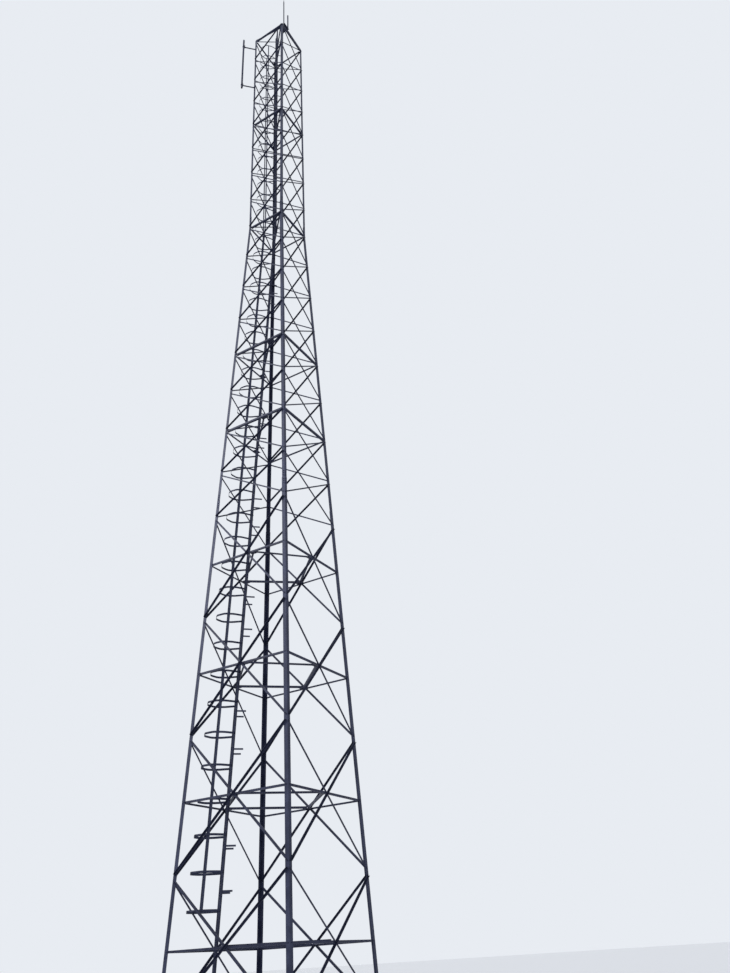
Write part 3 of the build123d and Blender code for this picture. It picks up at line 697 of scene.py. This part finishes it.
stamp("socket_weld", ROUND_COLLAR, APEX, UP, 0.0, SOCKET_WELD, "pipe_steel", turns=0.0)
stamp("stub_weld", ROUND_COLLAR, APEX + PIPE_AWAY, UP, 0.0, PIPE_WELD, "pipe_steel", turns=0.0)
around = np.radians((15.0, 135.0, 255.0))
outward = np.column_stack((np.cos(around), np.sin(around), np.zeros(3)))
high = outward * (NECK_RADIUS - PROUD) + HIGH_SCREWS * UP
low = outward * (SOCKET_RADIUS - PROUD) + LOW_SCREWS * UP
screws = APEX + np.concatenate((high, low))
stamp("socket_screws", HEAD, screws, np.tile(outward, (2, 1)), 0.0, SCREW, "pipe_steel")

# %% [markdown]
# Rod, socket and pipe, turned round
#
# The frame gives the rod, its socket and the short pipe twelve flat sides. Here they are turned again with 40
# sides, because a Subdivision Surface would shrink them and soften their ends. The socket and the pipe are
# hollow, so their outline runs up the outside of the wall and down its inside. Smooth shading hides the last
# facets, and edges sharper than 30 degrees stay crisp.

# %% Turned rod, socket and pipe
CRISP = math.radians(30)
ROD_RINGS = [(0.024, 0.0), (0.024, 2.15), (0.004, 2.396), (0.0025, 2.4)]
SOCKET_RINGS = [
    (SOCKET_RADIUS, 0.0), (SOCKET_RADIUS, 0.128), (0.040, 0.130), (NECK_RADIUS, 0.130), (NECK_RADIUS, 0.258),
    (0.032, 0.260), (0.0241, 0.260), (0.0241, 0.0),
]
PIPE_RINGS = [
    (PIPE_RADIUS, 0.0), (PIPE_RADIUS, 1.0994), (0.0294, 1.1), (0.0266, 1.1), (0.026, 1.0994), (0.026, 0.0),
]
for name, node, rings, hollow, place, slot in (
    ("rod_turned", "lightning_rod", ROD_RINGS, False, APEX, "rod_steel"),
    ("socket_turned", "rod_socket", SOCKET_RINGS, True, APEX, "pipe_steel"),
    ("pipe_turned", "stub_pipe", PIPE_RINGS, True, APEX + PIPE_AWAY, "pipe_steel"),
):
    form = lathe(ROUND_SIDES, rings, hollow=hollow)
    made = stamp(name, form, place, UP, 0.0, 1.0, slot, turns=0.0)
    made.data.shade_smooth()
    made.data.set_sharp_from_angle(angle=CRISP)
    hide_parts(node)

# %% [markdown]
# The antenna pole's fixings
#
# The two arms of the antenna pole clamp over the leg's heel, with a bolt through each of its flanges. The pole
# is held against their end plates by U bolts: straight legs through the plate, and between them half a turn
# round the pole. A curve with a round bevel would do for the rods too, but one array gives all four at once.

# %% Clamp bolts and U bolts of the antenna pole
ARM_LEVELS = np.array((32.525, 35.325))
CLAMP_THICK, CLAMP_GAUGE, CLAMP_MIDDLE = 0.008, 0.048, 0.04
HEEL = AXIS - np.array((TOP_HALF, TOP_HALF, 0.0))
clamp = np.array(((CLAMP_GAUGE, -CLAMP_THICK, CLAMP_MIDDLE), (-CLAMP_THICK, CLAMP_GAUGE, CLAMP_MIDDLE)))
clamp_out = np.array(((0.0, -1.0, 0.0), (-1.0, 0.0, 0.0)))
places = (HEEL + clamp[None] + ARM_LEVELS[:, None, None] * UP).reshape(-1, 3)
clamp_out = np.tile(clamp_out, (len(ARM_LEVELS), 1))
stamp("bolts_pole_clamps", BOLT, places, clamp_out, CLAMP_THICK + LEG_THICK, M12, "pipe_steel")

POLE_OUT, POLE_RADIUS = 0.500, 0.038
U_ROD, U_RADIUS, U_TAIL = 0.005, POLE_RADIUS + 0.0055, POLE_RADIUS + 0.026
U_STEPS, U_SIDES = 17, 6


def u_bolts(levels):
    """Rods bent round the pole: half a turn, with two tails back through the end plate.

    The line is the pole's centre + radius * (cos, sin) of the turn, and each ring round it is the rod's radius
    * (cos, sin) of an angle, across the line and upward.
    """
    turn = np.linspace(math.pi / 2, -math.pi / 2, U_STEPS)
    tail = [POLE_OUT - U_TAIL]
    out = np.concatenate((tail, POLE_OUT + U_RADIUS * np.cos(turn), tail))
    side = np.concatenate(([U_RADIUS], U_RADIUS * np.sin(turn), [-U_RADIUS]))
    along = np.gradient(np.stack((out, side), axis=1), axis=0)
    along /= np.linalg.norm(along, axis=1, keepdims=True)
    angle = np.arange(U_SIDES) * math.tau / U_SIDES
    ring_out = out[:, None] + U_ROD * np.cos(angle) * along[:, 1:]
    ring_side = side[:, None] - U_ROD * np.cos(angle) * along[:, :1]
    ring_up = np.broadcast_to(U_ROD * np.sin(angle), ring_out.shape)
    flat = HEEL + ring_out[..., None] * TOWARDS + ring_side[..., None] * ACROSS + ring_up[..., None] * UP
    return flat[None] + levels[:, None, None, None] * UP


U_LEVELS = (ARM_LEVELS[:, None] + (0.018, 0.062)).ravel()
swept_bar("u_bolts", u_bolts(U_LEVELS), "pipe_steel")
level, side = both_sides(U_LEVELS)
plate_back = POLE_OUT - POLE_RADIUS - CLAMP_THICK
nuts = HEEL + plate_back * TOWARDS + side[:, None] * U_RADIUS * ACROSS + level[:, None] * UP
stamp("u_bolt_nuts", HEAD, nuts, -TOWARDS, 0.0, M10, "pipe_steel")

# %% [markdown]
# Shader maths in Python
#
# A finish is a little calculation for every point of the surface: how cloudy, how stained, how rusty. Blender
# does such sums with Math nodes, which are slow to read as a graph. The class below wraps a socket, so that an
# expression such as a * b + 0.2 adds the nodes by itself. Every other node comes from one method, which takes
# the node's type, its settings and its sockets.

# %% Wires and node trees
class Wire:
    """An output socket. Sums, differences and products of wires and numbers add Math nodes."""

    def __init__(self, finish, socket):
        self.finish, self.socket = finish, socket

    def math(self, operation, first, second):
        return self.finish.node("ShaderNodeMath", {"operation": operation}, (first, second))

    def __add__(self, other):
        return self.math("ADD", self, other)

    def __sub__(self, other):
        return self.math("SUBTRACT", self, other)

    def __rsub__(self, other):
        return self.math("SUBTRACT", other, self)

    def __mul__(self, other):
        return self.math("MULTIPLY", self, other)

    __radd__, __rmul__ = __add__, __mul__


class Nodes:
    """The node tree of a material or a world."""

    def __init__(self, owner):
        owner.use_nodes = True
        self.owner, self.tree = owner, owner.node_tree
        self.tree.nodes.clear()

    def node(self, kind, settings=None, sockets=(), take=0):
        """Adds a node, makes its settings, fills its sockets with values or wires, and returns one output."""
        made = self.tree.nodes.new(kind)
        for key, value in (settings or {}).items():
            setattr(made, key, value)
        for key, value in sockets.items() if isinstance(sockets, dict) else enumerate(sockets):
            if isinstance(value, Wire):
                self.tree.links.new(value.socket, made.inputs[key])
            else:
                made.inputs[key].default_value = value
        return Wire(self, made.outputs[take]) if len(made.outputs) else None


# %% [markdown]
# What a finish is made from
#
# All finishes share a few moves: a cloud of noise, a soft step that keeps only its peaks, and a mix of two
# colours by such a step. They read the point of the surface in the tower's own frame, so a pattern runs on from
# one piece to the next and needs no unwrapping.

# %% Finishes
class Finish(Nodes):
    """One material. place is the point of the surface in the tower's own frame."""

    def __init__(self, name):
        super().__init__(bpy.data.materials.new(name))
        self.place = self.node("ShaderNodeTexCoord", take="Object")

    def stretched(self, x, y, z):
        """The surface point, scaled along each axis."""
        return self.node("ShaderNodeMapping", None, {"Vector": self.place, "Scale": (x, y, z)})

    def noise(self, scale, detail, where=None, roughness=0.55):
        """Cloudy noise from 0 to 1, at a number of clouds for each metre."""
        sockets = {"Vector": where or self.place, "Scale": scale, "Detail": detail, "Roughness": roughness}
        return self.node("ShaderNodeTexNoise", None, sockets)

    def rise(self, value, low, high):
        """0 below low, 1 above high, and a smooth step between them."""
        settings = {"interpolation_type": "SMOOTHSTEP"}
        return self.node("ShaderNodeMapRange", settings, (value, low, high, 0.0, 1.0))

    def mix(self, share, first, second):
        """A colour between two, by a share from 0 to 1."""
        return self.node("ShaderNodeMix", {"data_type": "RGBA"}, {0: share, 6: first, 7: second}, take=2)

    def shade(self, **sockets):
        """The surface shader and the material's output."""
        names = {key.replace("_", " "): value for key, value in sockets.items()}
        surface = self.node("ShaderNodeBsdfPrincipled", None, names)
        self.node("ShaderNodeOutputMaterial", None, {"Surface": surface})
        return self.owner


# %% [markdown]
# Weathered galvanised steel
#
# Hot-dip zinc freezes in crystals a centimetre or two across, and outdoors it dulls, with paler clouds, rain
# streaks and a little rust where the coating was chipped. Its dark slate-blue here is painted shade: the grey
# zinc is painted darker and bluer, as if the tower stood against a bright sky. Pictures of real zinc could be
# wrapped round the bars, but they would need unwrapping and repeat. So the crystals are Voronoi cells that
# change tone and gloss, the clouds and streaks are noise (the streaks are noise stretched upright), and rust is
# noise with most of it cut away.

# %% Galvanised steel
def colour(red, green, blue):
    """A colour written as screen values from 0 to 255, turned into linear light."""
    screen = np.array((red, green, blue)) / 255.0
    linear = np.where(screen <= 0.04045, screen / 12.92, ((screen + 0.055) / 1.055) ** 2.4)
    return (*(float(value) for value in linear), 1.0)


RUST_DARK, RUST_PALE, DUST = colour(84, 46, 28), colour(128, 80, 52), colour(100, 94, 86)
METAL, DULL_SPECULAR = 0.35, 0.25
CRYSTALS, CLOUDS, GRAIN, CHIPS, SPLASHES = 70.0, 2.6, 38.0, 9.0, 5.0
STREAKS = (16.0, 16.0, 0.9)
CLOUD_SHARE, CRYSTAL_SHARE, STREAK_SHARE = 0.75, 0.35, 0.45
SPLASH_FULL, SPLASH_TOP = 0.05, 1.1
RELIEF, RELIEF_DEPTH = 0.35, 0.0012


def galvanised(name, shaded_tone, pale, dark, rust, grime=0.0, rough=0.52):
    """Zinc skin: shaded_tone (grey zinc painted darker and bluer, as painted shade) with paler clouds, darker
    streaks, rust in small spots, and grime towards the ground. The pale and dark colours hold the same painted
    shade.

    Each layer is mixed over the last by a share from 0 to 1. The more rust, the lower the peaks of noise that
    count as a chip, and the rougher and the less metallic the spot.
    """
    skin = Finish(name)
    cells = skin.node("ShaderNodeTexVoronoi", None, {"Vector": skin.place, "Scale": CRYSTALS}, take="Color")
    crystal = skin.node("ShaderNodeSeparateColor", None, (cells,))
    clouds = skin.rise(skin.noise(CLOUDS, 5.0), 0.38, 0.68)
    fine = skin.noise(GRAIN, 4.0)
    streaks = skin.rise(skin.noise(1.0, 4.0, skin.stretched(*STREAKS)), 0.50, 0.74)
    chips = skin.noise(CHIPS, 6.0, roughness=0.7) * 0.7 + fine * 0.3
    worn = skin.rise(chips, 0.66 - 0.06 * rust, 0.76 - 0.05 * rust)
    # The tone, the pale and the dark colours all hold painted shade: grey zinc painted darker and bluer.
    body = skin.mix(clouds * CLOUD_SHARE, colour(*shaded_tone), colour(*pale))
    body = skin.mix(crystal * CRYSTAL_SHARE, body, colour(*dark))
    body = skin.mix(streaks * STREAK_SHARE, body, colour(*dark))
    body = skin.mix(worn * rust, body, skin.mix(fine, RUST_DARK, RUST_PALE))
    if grime:
        height = skin.node("ShaderNodeSeparateXYZ", None, (skin.place,), take="Z")
        low_down = 1 - skin.rise(height, SPLASH_FULL, SPLASH_TOP)
        splash = low_down * skin.rise(skin.noise(SPLASHES, 5.0), 0.30, 0.62)
        body = skin.mix(splash * grime, body, DUST)
    roughness = crystal * 0.14 + clouds * 0.10 + worn * (0.3 * rust) + (rough - 0.10)
    relief = fine * 0.6 + crystal * 0.25 + worn * (-0.5 * rust)
    bump = skin.node(
        "ShaderNodeBump", None, {"Strength": RELIEF, "Distance": RELIEF_DEPTH, "Height": relief})
    return skin.shade(
        Base_Color=body, Roughness=roughness, Metallic=(1 - worn * rust) * METAL,
        Specular_IOR_Level=DULL_SPECULAR, Normal=bump,
    )


# %% [markdown]
# Nine batches of steel
#
# Each group of pieces gets its own tone, because each was dipped as its own batch: the main tone, the paler
# clouds and the darker streaks, as screen values, then how rusty it is. All of them are grey zinc painted
# darker and bluer with the same painted shade. The feet get less of that painted shade, so they are paler, and
# they are dusty, as rain splashes the ground up at them. The finish goes by the slot that each piece was given.

# %% Finishes of the pieces
# Each tone below, with its pale and dark colours, is grey zinc darkened and blued as painted shade; the feet
# hold less of it.
FINISH = {
    "leg_steel": galvanised("galvanised_legs", (39, 44, 67), (63, 68, 93), (25, 29, 46), 0.45, grime=0.4),
    "splice_steel": galvanised("galvanised_splices", (36, 41, 61), (57, 62, 85), (23, 27, 43), 0.6),
    "brace_steel": galvanised("galvanised_bracing", (35, 39, 60), (56, 61, 85), (22, 26, 42), 0.5, grime=0.3),
    "ladder_steel": galvanised("galvanised_ladder", (39, 44, 65), (64, 69, 91), (25, 29, 45), 0.8, rough=0.46),
    "cage_steel": galvanised("galvanised_cage", (41, 46, 67), (66, 71, 94), (27, 31, 48), 0.5),
    "foot_steel": galvanised("galvanised_feet", (56, 60, 71), (78, 82, 92), (38, 41, 50), 1.0, grime=0.6),
    "cap_steel": galvanised("galvanised_cap", (34, 39, 58), (54, 59, 82), (21, 25, 41), 0.6),
    "pipe_steel": galvanised("galvanised_pipe", (38, 43, 65), (62, 67, 91), (25, 29, 46), 0.3, rough=0.42),
    "rod_steel": galvanised("galvanised_rod", (37, 41, 58), (57, 62, 80), (23, 27, 40), 0.7, rough=0.5),
}
for row in frame["record"]["subparts"]:
    node = frame["nodes"][row["node"]]
    node.data.materials.clear()
    node.data.materials.append(FINISH[row["material_slot"]])
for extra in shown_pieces():
    if not extra.data.materials:
        extra.data.materials.append(FINISH[extra["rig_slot"]])
print("finishes:", len(FINISH))

# %% [markdown]
# Floor, sky and light
#
# The tower is judged by its own light and shade, so the floor and the background stay plain and pale. The floor
# is one wide disc, a hair below the feet, and it takes the tower's shadow.

# %% Floor
FLOOR_RADIUS, FLOOR_SIDES, FLOOR_LEVEL = 400.0, 96, -0.002
angle = np.linspace(0, math.tau, FLOOR_SIDES, endpoint=False)
rim = FOOT + FLOOR_RADIUS * np.column_stack((np.cos(angle), np.sin(angle)))
floor_points = np.column_stack((rim, np.full(FLOOR_SIDES, FLOOR_LEVEL)))
floor_mesh = bpy.data.meshes.new("floor")
floor_mesh.from_pydata(floor_points.tolist(), [], [list(range(FLOOR_SIDES))])
floor = bpy.data.objects.new("floor", floor_mesh)
bpy.context.scene.collection.objects.link(floor)
ground = Finish("pale_floor")
floor_mesh.materials.append(ground.shade(Base_Color=colour(226, 228, 231), Roughness=0.9))
print("floor:", 2 * FLOOR_RADIUS, "m across")

# %% [markdown]
# A pale world
#
# The camera sees a pale background, while the world that lights the steel is a little weaker. Light Path tells
# the two apart, and a glossy reflection counts as seen, so that the metal mirrors the background too. A
# brighter lamp would give the pale background as well, but it would bleach the steel.

# %% World
SKY_LIGHT = 0.55
world = Nodes(bpy.data.worlds.new("pale_world"))
bpy.context.scene.world = world.owner
camera_ray = world.node("ShaderNodeLightPath", take="Is Camera Ray")
glossy_ray = world.node("ShaderNodeLightPath", take="Is Glossy Ray")
lighting = world.node("ShaderNodeBackground", None, (colour(240, 244, 252), SKY_LIGHT))
backdrop = world.node("ShaderNodeBackground", None, (colour(232, 236, 242), 1.0))
seen = world.node("ShaderNodeMath", {"operation": "MAXIMUM"}, (camera_ray, glossy_ray))
sky = world.node("ShaderNodeMixShader", None, (seen, lighting, backdrop))
world.node("ShaderNodeOutputWorld", None, {"Surface": sky})
print("sky light:", SKY_LIGHT)


# %% [markdown]
# Two suns
#
# One broad sun gives shadows soft edges, and a second, weaker and broader one fills the far side. Area lamps
# would fade over forty metres of height, and a sun doesn't.

# %% Lamps
def sun(name, strength, spread, direction):
    """A sun lamp that shines along a direction, with a disc that many degrees wide."""
    lamp = bpy.data.lights.new(name, "SUN")
    lamp.energy, lamp.angle = strength, math.radians(spread)
    made = bpy.data.objects.new(name, lamp)
    axes = axes_along(-np.array([direction], float), np.zeros(1))[0]
    made.matrix_world = Matrix(axes.T.tolist()).to_4x4()
    bpy.context.scene.collection.objects.link(made)
    print(name, "strength:", strength)


sun("key_sun", 1.9, 14, (0.75, 0.45, -0.62))
sun("fill_sun", 0.6, 40, (-0.6, 0.7, -0.35))

# %% [markdown]
# The camera
#
# The photograph was taken from near the ground with the camera tilted up, so the tower narrows towards the
# top of the picture. The place, the three turns and the lens below were fitted to the photograph's dark lines:
# legs, diagonals, level angles and belts. The turns are counted from a level look at the tower's axis.

# %% Camera
EYE = np.array((13.44, -14.15, 1.237))
PAN, TILT, ROLL = np.radians((7.571, 31.115, -3.577))
LENS, FILM_WIDTH, FAR = 29.05, 36.0, 1000.0
look = (AXIS - EYE) * (1, 1, 0)
look /= np.linalg.norm(look)
right = np.array((look[1], -look[0], 0.0))
ahead = math.sin(PAN) * right + math.cos(PAN) * look
right = math.cos(PAN) * right - math.sin(PAN) * look
forward = math.cos(TILT) * ahead + math.sin(TILT) * UP
above = math.cos(TILT) * UP - math.sin(TILT) * ahead
image_right = math.cos(ROLL) * right + math.sin(ROLL) * above
image_up = math.cos(ROLL) * above - math.sin(ROLL) * right
lens = bpy.data.cameras.new("camera")
lens.lens, lens.sensor_width, lens.clip_end = LENS, FILM_WIDTH, FAR
camera = bpy.data.objects.new("camera", lens)
turned = Matrix(np.column_stack((image_right, image_up, -forward)).tolist()).to_4x4()
camera.matrix_world = Matrix.Translation(EYE.tolist()) @ turned
bpy.context.scene.collection.objects.link(camera)
bpy.context.scene.camera = camera
bpy.context.scene.view_settings.view_transform = "Standard"
print("camera at", EYE.tolist(), "lens", LENS, "mm")

# %% [markdown]
# The box of the finished tower
#
# Every bolt and weld lies within the reach of the feet and below the tip of the rod, so the dressed tower keeps
# the box of the bare solids.
